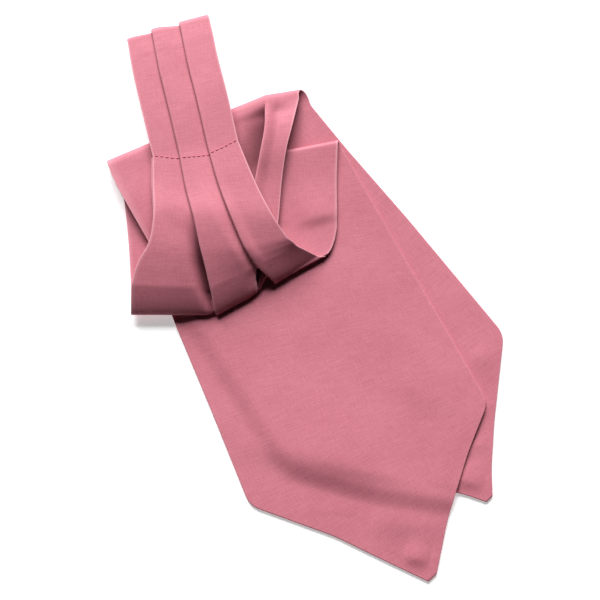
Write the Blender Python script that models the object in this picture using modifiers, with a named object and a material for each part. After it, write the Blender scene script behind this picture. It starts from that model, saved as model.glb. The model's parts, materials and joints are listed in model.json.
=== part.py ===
# An ascot tie of rose satin, folded up and laid on a flat surface.
# Every stretch of cloth is a loft through sections, which gets its wall from a Solidify modifier.
# The tables below are in millimetres, +Y pointing away from the viewer and +Z up from the surface.
import math
from typing import NamedTuple

import bpy
import numpy as np

MM = 0.001
CENTRE = np.array((0.7, 5.6, 0.0))

BLADE_WALL = 1.4
PLEAT_WALL = 1.0
SEAM_GAP = 0.3
PLEAT_STEP = PLEAT_WALL + SEAM_GAP
BLADE_STEP = BLADE_WALL + SEAM_GAP

# The middle of the wall of each layer that lies flat.
BACK_BLADE_Z = BLADE_WALL / 2
FRONT_BLADE_Z = BACK_BLADE_Z + BLADE_STEP
FRONT_RETURN_Z = FRONT_BLADE_Z + BLADE_STEP

# How far a pleat's panel lies above the one below it where the pleat is pressed flat.
PRESSED = 2 * PLEAT_STEP

# Over this distance before a pleat's edge the panel beside it dives under the pleat.
DIVE = 7.0
# The front blade leaves the back blade this far past its edge, and is down on the surface after DROP_RUN.
DROP_START = 3.0
DROP_RUN = 12.0

UP = np.array((0.0, 0.0, 1.0))


class Section(NamedTuple):
    """A line across pleated cloth: its left edge, the pleats' edges and its right edge, and how the pleats lie."""

    edges: tuple
    underlap: float
    drop: float


class Fold(NamedTuple):
    """A soft fold: where the upper cloth starts to turn, its outermost line, and where the lower cloth is flat."""

    upper: tuple
    outer: tuple
    lower: tuple


# The front fan, from the stitch row down to where it starts to turn under.
FAN = (
    Section(((-86.1, 65.0, 15.4), (-66.2, 62.5, 18.0), (-47.2, 66.5, 18.4), (-26.4, 67.0, 18.2)), 8.5, 2.7),
    Section(((-85.2, 47.7, 16.4), (-60.8, 45.0, 19.0), (-40.4, 47.5, 19.2), (-17.2, 48.0, 18.8)), 8.0, 3.0),
    Section(((-88.2, 31.4, 16.4), (-57.3, 27.5, 19.2), (-33.0, 30.0, 19.3), (-8.5, 34.5, 18.0)), 6.5, 4.0),
    Section(((-93.6, 17.0, 15.8), (-54.3, 15.0, 18.6), (-28.8, 22.5, 18.5), (-4.5, 31.0, 17.0)), 4.0, 5.0),
)
FAN_FOLD = Fold(
    upper=((-96.8, 3.0, 14.4), (-51.2, 2.9, 17.2), (-24.9, 16.7, 17.2), (-2.3, 28.9, 16.0)),
    outer=((-98.0, -9.9), (-48.0, -9.9), (-14.2, 8.5), (12.8, 23.5)),
    lower=(
        (-98.1, 3.0, FRONT_RETURN_Z),
        (-51.4, 2.9, FRONT_RETURN_Z),
        (-15.7, 21.9, FRONT_RETURN_Z),
        (21.5, 42.6, FRONT_RETURN_Z + SEAM_GAP),
    ),
)
FAN_FOLD_START = Section(FAN_FOLD.upper, 2.6, 4.4)
FAN_FOLD_END = Section(FAN_FOLD.lower, 1.4, PRESSED)
# The fan ends on the underside of its fold, at the last of its turns in degrees, and the front return starts there.
FAN_TURNS = (25, 50, 75, 100, 125, 150)
RETURN_TURNS = (170, 153)

# The middle plane of the doubled neckband, from its centre back fold to the stitch row.
BAND = (
    ((-103.7, 159.5, 4.1), (-54.6, 173.2, 4.2)),
    ((-101.8, 149.5, 5.4), (-52.4, 163.2, 6.0)),
    ((-98.5, 133.0, 8.6), (-49.2, 147.0, 9.6)),
    ((-92.7, 108.9, 12.6), (-43.0, 121.5, 13.0)),
    ((-86.5, 83.7, 13.0), (-36.8, 93.1, 13.2)),
)
# Where the two pleats' edges lie across the neckband, as shares of its width.
BAND_PLEATS = (0.32, 0.66)
BAND_UNDERLAP = 9.5
BAND_TURNS = (36, 72, 108, 144)

# The back return, from its fold with the back blade down under the fan: left edge, pleat's edge, right edge.
BACK_UNDERLAP = 9.0
BACK_FOLD = Fold(
    upper=((-113.6, 77.8, 7.0), (-20.2, 119.2, 9.4), (-0.9, 122.2, 8.8)),
    outer=((-115.0, 82.5), (-19.4, 124.6), (1.6, 127.6)),
    lower=((-111.6, 77.4, BACK_BLADE_Z), (-16.0, 118.6, BACK_BLADE_Z), (5.8, 121.6, BACK_BLADE_Z)),
)
BACK_RETURN = (
    Section(((-107.8, 67.4, 6.9), (-20.2, 104.0, 9.5), (-4.6, 105.5, 8.8)), BACK_UNDERLAP, PRESSED),
    Section(((-102.0, 57.0, 6.5), (-22.6, 88.6, 9.4), (-8.3, 89.4, 8.6)), BACK_UNDERLAP, PRESSED),
    Section(((-95.8, 46.0, 6.1), (-25.6, 72.0, 9.0), (-11.0, 69.5, 8.2)), BACK_UNDERLAP, PRESSED),
    Section(((-89.2, 34.4, 5.9), (-29.6, 52.0, 8.6), (-12.9, 46.3, 7.8)), BACK_UNDERLAP, PRESSED),
    Section(((-82.0, 21.0, 5.8), (-34.0, 31.0, 8.5), (-15.5, 30.5, 7.6)), BACK_UNDERLAP, PRESSED),
)

# The front return, from its fold with the front blade, without a pleat: left and right edge.
FRONT_FOLD = Fold(
    upper=((-106.2, 72.0, 4.9), (-12.6, 88.1, 4.9), (22.2, 94.6, 5.2)),
    outer=((-106.6, 73.5), (-12.5, 89.8), (22.6, 96.6)),
    lower=((-106.0, 72.0, FRONT_BLADE_Z), (-12.6, 88.1, FRONT_BLADE_Z), (23.6, 94.6, FRONT_BLADE_Z)),
)
FRONT_RETURN = (
    ((-103.4, 58.2, 4.3), (-12.8, 70.0, 4.3), (21.5, 74.0, 4.4)),
    ((-100.5, 34.0, FRONT_RETURN_Z), (-13.5, 46.0, FRONT_RETURN_Z), (21.5, 57.0, 4.2)),
)

# The blades' outlines from fold to tip: left edge and right edge, with soft corners.
BACK_BLADE = (
    ((-111.6, 77.0), (5.8, 121.2)),
    ((-76.0, 22.0), (26.9, 93.8)),
    ((-38.0, -38.0), (63.8, 48.8)),
    ((-1.0, -95.0), (118.4, -21.0)),
    ((48.0, -108.5), (111.6, -71.6)),
    ((91.5, -113.8), (108.6, -102.0)),
    ((103.6, -119.8), (108.4, -117.4)),
)
FRONT_BLADE = (
    ((-106.0, 72.0), (23.6, 94.6)),
    ((-88.0, 26.0), (47.0, 51.0)),
    ((-72.2, -15.3), (65.6, 16.3)),
    ((-50.0, -68.0), (86.5, -22.0)),
    ((-28.4, -121.2), (107.9, -61.8)),
    ((19.8, -138.6), (96.1, -90.6)),
    ((45.0, -151.0), (83.4, -129.5)),
    ((71.0, -165.6), (76.2, -163.6)),
)
# The stretch of edge on each side of a corner over which it is rounded off.
CORNER = 6.0

# The layers between the front fan and the back return: left edge, right edge, underside and top.
HIDDEN = (
    (-88.4, 83.0, -39.5, 92.0, 9.6, 12.7),
    (-88.2, 66.0, -34.0, 70.0, 9.9, 13.6),
    (-87.0, 48.0, -24.5, 50.0, 10.2, 14.4),
    (-87.0, 32.0, -17.0, 36.0, 10.2, 13.6),
    (-88.5, 18.0, -21.0, 24.5, 9.8, 12.0),
    (-87.0, 15.0, -24.0, 20.5, 10.6, 11.2),
)
HIDDEN_STEPS = 15
HIDDEN_LAYERS = 3
GROOVE = 0.9

# How many stretches each loft is cut into, along the cloth and across it.
BACK_BLADE_STEPS = (18, 8)
FRONT_BLADE_STEPS = (28, 20)
FRONT_RETURN_STEPS = (12, 16)
BACK_RETURN_STEPS = 14
FAN_STEPS = 15
BAND_STEPS = 10
PANEL_STEPS = 6
UNDER_STEPS = 3
FOLD_TURNS = (180, 150, 120, 90, 60, 30, 0)


class Finish(NamedTuple):
    colour: tuple
    roughness: float


SATIN = Finish((0.68, 0.24, 0.29, 1.0), 0.45)
SATIN_SHADE = Finish((0.52, 0.16, 0.20, 1.0), 0.55)


def smooth(value):
    value = min(max(value, 0.0), 1.0)
    return value * value * (3 - 2 * value)


def blend(start, end, share):
    return np.asarray(start) * (1 - share) + np.asarray(end) * share


def through(rows, place):
    """A smooth curve through rows that are arrays of one shape, at a place from 0 to the last row."""
    k = min(int(place), len(rows) - 2)
    share = place - k
    here, after = rows[k], rows[k + 1]
    before = rows[k - 1] if k else 2 * here - after
    beyond = rows[k + 2] if k + 2 < len(rows) else 2 * after - here
    return 0.5 * (
        2 * here
        + (after - before) * share
        + (2 * before - 5 * here + 4 * after - beyond) * share**2
        + (3 * here - before - 3 * after + beyond) * share**3
    )


def softened(corners, place):
    """A point on a line of straight stretches whose corners are rounded off over CORNER millimetres."""
    corners = [np.array(corner) for corner in corners]
    k = min(int(place), len(corners) - 2)
    nearest = round(place)
    if 0 < nearest < len(corners) - 1:
        corner = corners[nearest]
        before = CORNER / np.linalg.norm(corner - corners[nearest - 1])
        after = CORNER / np.linalg.norm(corner - corners[nearest + 1])
        share = (place - nearest + before) / (before + after)
        if 0 < share < 1:
            start = blend(corner, corners[nearest - 1], before)
            end = blend(corner, corners[nearest + 1], after)
            return blend(blend(start, corner, share), blend(corner, end, share), share)
    return blend(corners[k], corners[k + 1], place - k)


def turned(fold, degrees):
    """The fold's section after it has turned so far: its points, and the way out from the cloth at each."""
    angle = math.radians(degrees)
    points = []
    outward = []
    for upper, outer, lower in zip(fold.upper, fold.outer, fold.lower):
        upper, lower = np.array(upper), np.array(lower)
        middle = (upper + lower) / 2
        reach = np.array((*outer, middle[2])) - middle
        level = blend(upper, lower, (1 - math.cos(angle)) / 2)
        points.append(level + reach * math.sin(angle))
        outward.append(UP * math.cos(angle) + reach / np.linalg.norm(reach) * math.sin(angle))
    return points, outward


def pleated(edges, outward, underlap, drop):
    """Points across pleated cloth. Each panel dives under the next, turns back and comes out on top."""
    last = len(edges) - 1
    across = [edges[k + 1] - edges[k] for k in range(last)]
    lengths = [np.linalg.norm(run) for run in across]

    def panel(k, distance):
        rise = across[k][2] * UP
        dive = drop * outward[k + 1] if k + 1 < last else 0.0
        under = smooth((distance - lengths[k] + DIVE) / DIVE)
        return edges[k] + (across[k] - rise) * distance / lengths[k] + (rise - dive) * under

    def turn(centre, side, up, radius):
        angles = (-math.pi / 4, 0.0, math.pi / 4)
        return [centre + radius * (side * math.cos(a) + up * math.sin(a)) for a in angles]

    path = []
    for k in range(last):
        path += [panel(k, lengths[k] * step / PANEL_STEPS) for step in range(PANEL_STEPS + 1)]
        if k + 1 == last:
            break
        up = outward[k + 1]
        side = across[k + 1] / lengths[k + 1]
        reach = [underlap * step / UNDER_STEPS for step in range(1, UNDER_STEPS + 1)]
        below = [panel(k + 1, distance) - drop * up for distance in reach]
        back = [
            panel(k + 1, distance)
            - up * (PLEAT_STEP + (drop - PRESSED) * distance / underlap)
            for distance in reach
        ]
        path += below
        path += turn((below[-1] + back[-1]) / 2, side, up, PLEAT_STEP / 2)
        path += back[::-1]
        path.append(edges[k + 1] - PLEAT_STEP * up)
        path += turn(edges[k + 1] - PLEAT_STEP / 2 * up, -side, up, PLEAT_STEP / 2)
    return path


def wide(edges, steps):
    """Points across plain cloth, on a smooth line through its edges."""
    rows = [np.array(edge) for edge in edges]
    return [through(rows, (len(rows) - 1) * step / steps) for step in range(steps + 1)]


def cloth(name, rows, wall, finish, collection):
    """Lofts a sheet through rows of equally many points, and gives it its wall, half on each side."""
    width = len(rows[0])
    points = [(np.asarray(point) - CENTRE) * MM for row in rows for point in row]
    faces = [
        (r * width + c, (r + 1) * width + c, (r + 1) * width + c + 1, r * width + c + 1)
        for r in range(len(rows) - 1)
        for c in range(width - 1)
    ]
    thing = placed(name, points, faces, finish, collection)
    solidify = thing.modifiers.new("wall", "SOLIDIFY")
    solidify.thickness = wall * MM
    solidify.offset = 0.0
    solidify.use_even_offset = True
    solidify.use_quality_normals = True
    return thing


def placed(name, points, faces, finish, collection):
    """A mesh object with a material of its own."""
    mesh = bpy.data.meshes.new(name)
    mesh.from_pydata([tuple(point) for point in points], [], faces)
    mesh.update()
    mesh.shade_smooth()
    thing = bpy.data.objects.new(name, mesh)
    collection.objects.link(thing)
    material = bpy.data.materials.new(name)
    material.use_nodes = True
    shader = material.node_tree.nodes["Principled BSDF"]
    shader.inputs["Base Color"].default_value = finish.colour
    shader.inputs["Roughness"].default_value = finish.roughness
    shader.inputs["Metallic"].default_value = 0.0
    mesh.materials.append(material)
    return thing


def past_edge(outline, point):
    """How far a point lies outside a closed outline, negative inside it."""
    nearest = math.inf
    inside = False
    for k, start in enumerate(outline):
        end = outline[k - 1]
        run = end - start
        share = min(max(((point - start) @ run) / (run @ run), 0.0), 1.0)
        nearest = min(nearest, float(np.linalg.norm(point - start - run * share)))
        if (start[1] > point[1]) != (end[1] > point[1]):
            crossing = start[0] + (point[1] - start[1]) / (end[1] - start[1]) * run[0]
            inside ^= bool(point[0] < crossing)
    return -nearest if inside else nearest


def blade_rows(outline, steps):
    """Rows of plan points from the fold to the tip, the first just clear of the fold's own cloth."""
    left = [row[0] for row in outline]
    right = [row[1] for row in outline]
    rows, columns = steps
    places = [(len(outline) - 1) * step / rows for step in range(rows + 1)]
    places[0] = 1.2 * SEAM_GAP / np.linalg.norm(np.subtract(left[1], left[0]))
    return [
        [blend(softened(left, place), softened(right, place), step / columns) for step in range(columns + 1)]
        for place in places
    ]


def back_blade(collection):
    plan = blade_rows(BACK_BLADE, BACK_BLADE_STEPS)
    rows = [[(*point, BACK_BLADE_Z) for point in row] for row in plan]
    return cloth("back_blade", rows, BLADE_WALL, SATIN, collection)


def front_blade(collection):
    """Lies on the back blade, and drops to the surface past its edge."""
    places = [step / 4 for step in range(4 * (len(BACK_BLADE) - 1) + 1)]
    left = [softened([row[0] for row in BACK_BLADE], place) for place in places]
    right = [softened([row[1] for row in BACK_BLADE], place) for place in places]
    outline = left + right[::-1]
    rows = []
    for row in blade_rows(FRONT_BLADE, FRONT_BLADE_STEPS):
        fall = [smooth((past_edge(outline, point) - DROP_START) / DROP_RUN) for point in row]
        rows.append([(*point, FRONT_BLADE_Z - BLADE_STEP * share) for point, share in zip(row, fall)])
    return cloth("front_blade", rows, BLADE_WALL, SATIN, collection)


def front_return(collection):
    steps, columns = FRONT_RETURN_STEPS
    rows = [wide(turned(FRONT_FOLD, degrees)[0], columns) for degrees in FOLD_TURNS]
    fold_start = [np.array(point) for point in FAN_FOLD.lower]
    lines = [np.array(wide(section, columns)) for section in (FRONT_FOLD.upper, *FRONT_RETURN)]
    lines.append(np.array(along(fold_start, columns)))
    rows += [through(lines, (len(lines) - 1) * step / steps) for step in range(1, steps + 1)]
    rows += [along(turned(FAN_FOLD, degrees)[0], columns) for degrees in RETURN_TURNS]
    return cloth("front_return", rows, BLADE_WALL, SATIN, collection)


def along(edges, steps):
    """Points at equal distances on straight stretches from edge to edge."""
    lengths = [np.linalg.norm(edges[k + 1] - edges[k]) for k in range(len(edges) - 1)]
    total = sum(lengths)
    points = []
    for step in range(steps + 1):
        left = total * step / steps
        k = 0
        while k < len(lengths) - 1 and left > lengths[k]:
            left -= lengths[k]
            k += 1
        points.append(blend(edges[k], edges[k + 1], left / lengths[k]))
    return points


def back_return(collection):
    rows = []
    for degrees in FOLD_TURNS:
        edges, outward = turned(BACK_FOLD, degrees)
        rows.append(pleated(edges, outward, BACK_UNDERLAP, PRESSED))
    top = Section(BACK_FOLD.upper, BACK_UNDERLAP, PRESSED)
    rows += lofted((top, *BACK_RETURN), BACK_RETURN_STEPS)[1:]
    return cloth("back_return", rows, PLEAT_WALL, SATIN, collection)


def lofted(sections, steps):
    """Pleated rows on smooth curves through the sections, all lying level."""
    tables = [np.array((*np.ravel(row.edges), row.underlap, row.drop)) for row in sections]
    rows = []
    for step in range(steps + 1):
        values = through(tables, (len(tables) - 1) * step / steps)
        edges = list(values[:-2].reshape(-1, 3))
        rows.append(pleated(edges, [UP] * len(edges), values[-2], values[-1]))
    return rows


def band_plane(place):
    rows = [np.array(row) for row in BAND]
    return through(rows, place)


def band_section(place, degrees):
    """The neckband's pleats on one side of its middle plane, or part of the way round its fold."""
    left, right = band_plane(place)
    tip_left, tip_right = band_plane(0)
    run = tip_right - tip_left
    out = np.array((-run[1], run[0], 0.0))
    out /= np.linalg.norm(out)
    angle = math.radians(degrees)
    up = UP * math.cos(angle) + out * math.sin(angle)
    lone = PLEAT_STEP / 2
    stacked = lone + PRESSED
    shares = (0.0, *BAND_PLEATS, 1.0)
    heights = (lone, stacked, stacked, stacked)
    edges = [blend(left, right, share) + up * height for share, height in zip(shares, heights)]
    return edges, [up] * len(edges)


def neckband(collection):
    """Up from the stitch row, round the centre back fold, and back underneath."""
    places = [(len(BAND) - 1) * step / BAND_STEPS for step in range(BAND_STEPS, -1, -1)]
    turns = [(place, 0) for place in places]
    turns += [(0.0, degrees) for degrees in BAND_TURNS]
    turns += [(place, 180) for place in reversed(places)]
    rows = [pleated(*band_section(place, degrees), BAND_UNDERLAP, PRESSED) for place, degrees in turns]
    return cloth("neckband", rows, PLEAT_WALL, SATIN, collection)


def front_fan(collection):
    """From the stitch row, where it carries on the neckband's pleats, to the underside of its fold."""
    edges, _ = band_section(len(BAND) - 1, 0)
    away = (edges[3] - edges[0]) / np.linalg.norm(edges[3] - edges[0])
    gap = np.array((away[1], -away[0], 0.0)) * SEAM_GAP
    start = Section([edge + gap for edge in edges], BAND_UNDERLAP, PRESSED)
    rows = lofted((start, *FAN, FAN_FOLD_START), FAN_STEPS)
    for degrees in FAN_TURNS:
        share = degrees / 180
        edges, outward = turned(FAN_FOLD, degrees)
        underlap = blend(FAN_FOLD_START.underlap, FAN_FOLD_END.underlap, share)
        drop = blend(FAN_FOLD_START.drop, FAN_FOLD_END.drop, share)
        rows.append(pleated(edges, outward, underlap, drop))
    return cloth("front_fan", rows, PLEAT_WALL, SATIN, collection)


def layered_edge(low, high):
    """Inset and height of points up an edge where the layers show as ridges with grooves between."""
    edge = []
    for k in range(HIDDEN_LAYERS):
        bottom = blend(low, high, k / HIDDEN_LAYERS)
        top = blend(low, high, (k + 1) / HIDDEN_LAYERS)
        edge.append((GROOVE, bottom))
        edge += [(GROOVE / 3, blend(bottom, top, 0.2)), (0.0, blend(bottom, top, 0.5))]
        edge.append((GROOVE / 3, blend(bottom, top, 0.8)))
    edge.append((GROOVE, high))
    return edge


def hidden_layers(collection):
    """A rounded slab whose edges show its layers."""
    tables = [np.array(row) for row in HIDDEN]
    rings = []
    for step in range(HIDDEN_STEPS + 1):
        place = (len(tables) - 1) * step / HIDDEN_STEPS
        left, left_y, right, right_y, low, high = through(tables, place)
        edge = layered_edge(low, high)
        ring = [(left + inset, left_y, z) for inset, z in edge]
        ring += [(right - inset, right_y, z) for inset, z in reversed(edge)]
        rings.append(ring)
    count = len(rings[0])
    points = [(np.array(point) - CENTRE) * MM for ring in rings for point in ring]
    faces = [
        (r * count + c, (r + 1) * count + c, (r + 1) * count + (c + 1) % count, r * count + (c + 1) % count)
        for r in range(HIDDEN_STEPS)
        for c in range(count)
    ]
    faces.append(tuple(range(count)))
    faces.append(tuple(range(HIDDEN_STEPS * count, (HIDDEN_STEPS + 1) * count))[::-1])
    return placed("hidden_layers", points, faces, SATIN_SHADE, collection)


def main():
    for thing in list(bpy.data.objects):
        bpy.data.objects.remove(thing, do_unlink=True)
    collection = bpy.data.collections.new("ascot_tie")
    bpy.context.scene.collection.children.link(collection)
    holder = bpy.data.objects.new("ascot_tie", None)
    collection.objects.link(holder)
    for make in (back_blade, front_blade, front_return, back_return, front_fan, neckband, hidden_layers):
        make(collection).parent = holder


main()
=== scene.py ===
# %% [markdown]
# # An ascot tie of rose satin, folded and laid flat
#
# The tie is one long band of doubled satin: a pointed blade at each end, three panels in the middle that
# are laid over each other as knife pleats, and a row of stitches that holds them where the neckband
# starts. It is folded in half at its centre back, turned back over the two blades and laid on a pale
# table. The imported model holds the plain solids. This lesson dresses them in thin cloth.

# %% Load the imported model
import json
import math
from typing import NamedTuple

import bpy
import numpy as np
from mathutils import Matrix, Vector
from mathutils.bvhtree import BVHTree

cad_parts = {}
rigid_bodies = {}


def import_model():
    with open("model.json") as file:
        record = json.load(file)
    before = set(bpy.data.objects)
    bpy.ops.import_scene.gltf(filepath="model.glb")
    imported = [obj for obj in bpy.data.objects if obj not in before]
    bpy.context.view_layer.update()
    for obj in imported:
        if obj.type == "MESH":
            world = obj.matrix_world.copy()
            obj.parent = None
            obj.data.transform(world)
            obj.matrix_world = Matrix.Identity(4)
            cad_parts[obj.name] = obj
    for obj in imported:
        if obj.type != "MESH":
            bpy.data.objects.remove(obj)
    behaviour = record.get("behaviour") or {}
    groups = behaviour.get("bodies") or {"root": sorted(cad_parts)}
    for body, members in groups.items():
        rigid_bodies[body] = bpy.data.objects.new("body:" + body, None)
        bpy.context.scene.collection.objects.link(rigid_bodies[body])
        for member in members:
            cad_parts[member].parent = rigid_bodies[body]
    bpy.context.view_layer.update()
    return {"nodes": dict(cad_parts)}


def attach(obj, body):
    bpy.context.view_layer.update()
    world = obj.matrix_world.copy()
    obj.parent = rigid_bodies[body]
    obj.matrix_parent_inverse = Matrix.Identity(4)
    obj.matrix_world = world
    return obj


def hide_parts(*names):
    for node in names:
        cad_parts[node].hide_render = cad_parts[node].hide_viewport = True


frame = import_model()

for thing in bpy.context.view_layer.objects:
    thing.select_set(False)
print("nodes in the frame:", ", ".join(sorted(frame["nodes"])))

# %% [markdown]
# ## The camera
#
# The photograph looks down on the tie from its pointed end, 15 degrees off straight down, with a long
# lens. The tables below are in millimetres, and CENTRE is the point of those tables that lies at the
# model's origin.

# %% Place the camera
MM = 0.001
CENTRE = np.array((0.7, 5.6, 0.0))
UP = np.array((0.0, 0.0, 1.0))
VIEW_ELEVATION = math.radians(75)
VIEW_DISTANCE = 1.15
LENS = 117.95
SENSOR_WIDTH = 36.0

camera_data = bpy.data.cameras.new("product_camera")
camera_data.lens = LENS
camera_data.sensor_width = SENSOR_WIDTH
camera_data.clip_end = 20.0
camera = bpy.data.objects.new("product_camera", camera_data)
bpy.context.scene.collection.objects.link(camera)
aim = Vector(-CENTRE * MM)
towards_viewer = Vector((0.0, -math.cos(VIEW_ELEVATION), math.sin(VIEW_ELEVATION)))
camera.location = aim + VIEW_DISTANCE * towards_viewer
camera.rotation_euler = (math.pi / 2 - VIEW_ELEVATION, 0.0, 0.0)
bpy.context.scene.camera = camera
print("camera at", tuple(round(value, 3) for value in camera.location))

# %% [markdown]
# ## The light
#
# One very large soft box stands nine metres away, far behind the tie, fairly low and a little to the
# left. A light that is large and far gives even tones on flat satin. The folds that turn towards the
# viewer fall into shade, so no lamp stands in front. The world gives a weak fill all round.

# %% Light the table
FILL_COLOUR = (1.0, 0.99, 0.98, 1.0)
FILL_STRENGTH = 0.015
SOFT_BOX_PLACE = (-1.10, 7.70, 4.60)
SOFT_BOX_SIZE = (7.8, 5.0)
SOFT_BOX_POWER = 2210.0

scene = bpy.context.scene
scene.view_settings.view_transform = "Standard"

world = bpy.data.worlds.new("studio")
world.use_nodes = True
fill = world.node_tree.nodes["Background"]
fill.inputs["Color"].default_value = FILL_COLOUR
fill.inputs["Strength"].default_value = FILL_STRENGTH
scene.world = world


def soft_box(name, place, size, power):
    """A rectangular soft box, aimed at the tie."""
    lamp = bpy.data.lights.new(name, "AREA")
    lamp.shape = "RECTANGLE"
    lamp.size, lamp.size_y = size
    lamp.energy = power
    holder = bpy.data.objects.new(name, lamp)
    scene.collection.objects.link(holder)
    holder.location = place
    holder.rotation_euler = (-Vector(place)).to_track_quat("-Z", "Y").to_euler()


soft_box("soft_box_behind", SOFT_BOX_PLACE, SOFT_BOX_SIZE, SOFT_BOX_POWER)

# %% [markdown]
# ## Shader maths as expressions
#
# A material reads better as a sum than as a wall of nodes. A small class wraps a socket, so that
# `1 - mask` or `grain * 0.2` adds the Math node that it stands for. One method adds any other node.


# %% A small language for nodes
class Value:
    """A number that varies over the surface: the output of a node."""

    def __init__(self, tree, socket):
        self.tree = tree
        self.socket = socket

    def _maths(self, operation, *others):
        node = self.tree.tree.nodes.new("ShaderNodeMath")
        node.operation = operation
        for slot, value in zip(node.inputs, others):
            self.tree.set(slot, value)
        return Value(self.tree, node.outputs[0])

    def __add__(self, other):
        return self._maths("ADD", self, other)

    def __radd__(self, other):
        return self._maths("ADD", other, self)

    def __sub__(self, other):
        return self._maths("SUBTRACT", self, other)

    def __rsub__(self, other):
        return self._maths("SUBTRACT", other, self)

    def __mul__(self, other):
        return self._maths("MULTIPLY", self, other)

    def __rmul__(self, other):
        return self._maths("MULTIPLY", other, self)


class Finish:
    """A material that is written as expressions."""

    def __init__(self, name):
        self.material = bpy.data.materials.new(name)
        self.material.use_nodes = True
        self.tree = self.material.node_tree
        self.shader = self.tree.nodes["Principled BSDF"]

    def set(self, slot, value):
        """Sets a socket to a number or a colour, or links it to a value."""
        if isinstance(value, Value):
            self.tree.links.new(value.socket, slot)
        else:
            slot.default_value = value

    def node(self, kind, settings=None, output=0, **values):
        """Adds any node: its settings first, then the values or links of its sockets, by name."""
        node = self.tree.nodes.new(kind)
        for name, value in (settings or {}).items():
            setattr(node, name, value)
        for name, value in values.items():
            self.set(node.inputs[name.replace("_", " ")], value)
        return Value(self, node.outputs[output])

    def mixed(self, share, low, high):
        """A colour between two others."""
        node = self.tree.nodes.new("ShaderNodeMix")
        node.data_type = "RGBA"
        # A Mix node of colours takes its share at socket 0 and its two colours at 6 and 7.
        self.set(node.inputs[0], share)
        self.set(node.inputs[6], low)
        self.set(node.inputs[7], high)
        return Value(self, node.outputs[2])

    def surface(self, **values):
        """Sets the sockets of the surface shader, by name, and gives the finished material."""
        for name, value in values.items():
            self.set(self.shader.inputs[name.replace("_", " ")], value)
        return self.material


print("the node language is ready")

# %% [markdown]
# ## The satin
#
# The cloth is a dusty rose satin with a fine weave and a low sheen. Its yarns run across and along the
# band, so the weave follows each piece's UV map, which holds the distance across and along the cloth: one
# unit is 100 mm. The weave is a bump of two crossed waves. Slubs, the slightly thicker yarns, are noise
# that is stretched across the band. Two attributes of the cloth are read as well: a painted highlight makes
# its rims and pressed edges paler, and painted shade darkens the insides of pleats.

# %% Mix the satin
UV_SPAN = 100.0
WEAVE_WAVES = 70.0
# Painted highlight on rims and pressed edges, painted shade in the pleats, and how much of each is mixed in.
EDGE_HIGHLIGHT = (0.80, 0.40, 0.46, 1.0)
PLEAT_SHADE = (0.10, 0.018, 0.026, 1.0)
EDGE_HIGHLIGHT_SHARE = 0.72
SHADE_SHARE = 0.90
# Which output of a node is used: Texture Coordinate's UV or Object, an Attribute's factor, a Wave's factor.
UV_PLACE = 2
OBJECT_PLACE = 3
ATTRIBUTE_FACTOR = 2
WAVE_FACTOR = 1


def rose_satin(name, light, deep, roughness):
    """Satin with its weave, slubs and slight unevenness of colour."""
    finish = Finish(name)
    cloth_map = finish.node("ShaderNodeTexCoord", output=UV_PLACE)

    def stretched(across, along):
        """The cloth's own place, with so many features in each UV unit."""
        scale = (across, along, 1.0)
        return finish.node("ShaderNodeMapping", {"vector_type": "POINT"}, Vector=cloth_map, Scale=scale)

    def noise(across, along, detail, roughness):
        place = stretched(across, along)
        return finish.node("ShaderNodeTexNoise", Vector=place, Scale=1.0, Detail=detail, Roughness=roughness)

    def yarns(direction):
        """The waves of the yarns that run one way."""
        place = stretched(WEAVE_WAVES, WEAVE_WAVES)
        settings = {"bands_direction": direction}
        return finish.node("ShaderNodeTexWave", settings, Vector=place, Scale=1.0, Distortion=0.6)

    slubs = noise(9.0, 150.0, detail=3.0, roughness=0.6)
    warp = noise(170.0, 14.0, detail=2.0, roughness=0.6)
    grain = noise(130.0, 130.0, detail=3.0, roughness=0.65)
    cloud = noise(2.2, 2.8, detail=3.0, roughness=0.5)
    picks = yarns("Y")
    ends = yarns("X")

    shade = 0.30 * slubs + 0.22 * warp + 0.26 * grain + 0.22 * cloud
    share = finish.node("ShaderNodeMapRange", Value=shade, From_Min=0.36, From_Max=0.64)
    height = 0.35 * picks + 0.25 * ends + 0.9 * grain + 0.7 * slubs
    bump = finish.node("ShaderNodeBump", Height=height, Strength=0.16, Distance=0.0002)
    # The attribute "edge" carries the painted highlight, the attribute "inside" the painted shade.
    painted_highlight = finish.node("ShaderNodeAttribute", {"attribute_name": "edge"}, output=ATTRIBUTE_FACTOR)
    hollow_shade = finish.node("ShaderNodeAttribute", {"attribute_name": "inside"}, output=ATTRIBUTE_FACTOR)
    colour = finish.mixed(share, deep, light)
    colour = finish.mixed(EDGE_HIGHLIGHT_SHARE * painted_highlight, colour, EDGE_HIGHLIGHT)
    colour = finish.mixed(SHADE_SHARE * hollow_shade, colour, PLEAT_SHADE)
    return finish.surface(
        Base_Color=colour,
        Roughness=roughness - 0.08 + 0.16 * grain,
        Normal=bump,
        Sheen_Weight=0.03,
        Sheen_Roughness=0.40,
        Sheen_Tint=(1.0, 0.72, 0.78, 1.0),
        Specular_IOR_Level=0.16,
    )


satin = rose_satin(
    "rose_satin",
    light=(0.640, 0.216, 0.270, 1.0),
    deep=(0.455, 0.128, 0.170, 1.0),
    roughness=0.56,
)
# A darker copy of the same satin: painted shade for the hidden layers that lie deep between the halves.
shaded_satin = rose_satin(
    "rose_satin_shaded",
    light=(0.500, 0.150, 0.198, 1.0),
    deep=(0.430, 0.118, 0.158, 1.0),
    roughness=0.52,
)
print("finishes:", satin.name, shaded_satin.name)

# %% [markdown]
# ## Lines and folds
#
# Every stretch of cloth is a net of points: rows along the band, columns across it. The rows come from a
# few measured lines, with a smooth curve through them. The same measures shape the solids, so the cloth
# lies where they lie.

# %% Curves through measured lines
CORNER = 6.0


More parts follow.
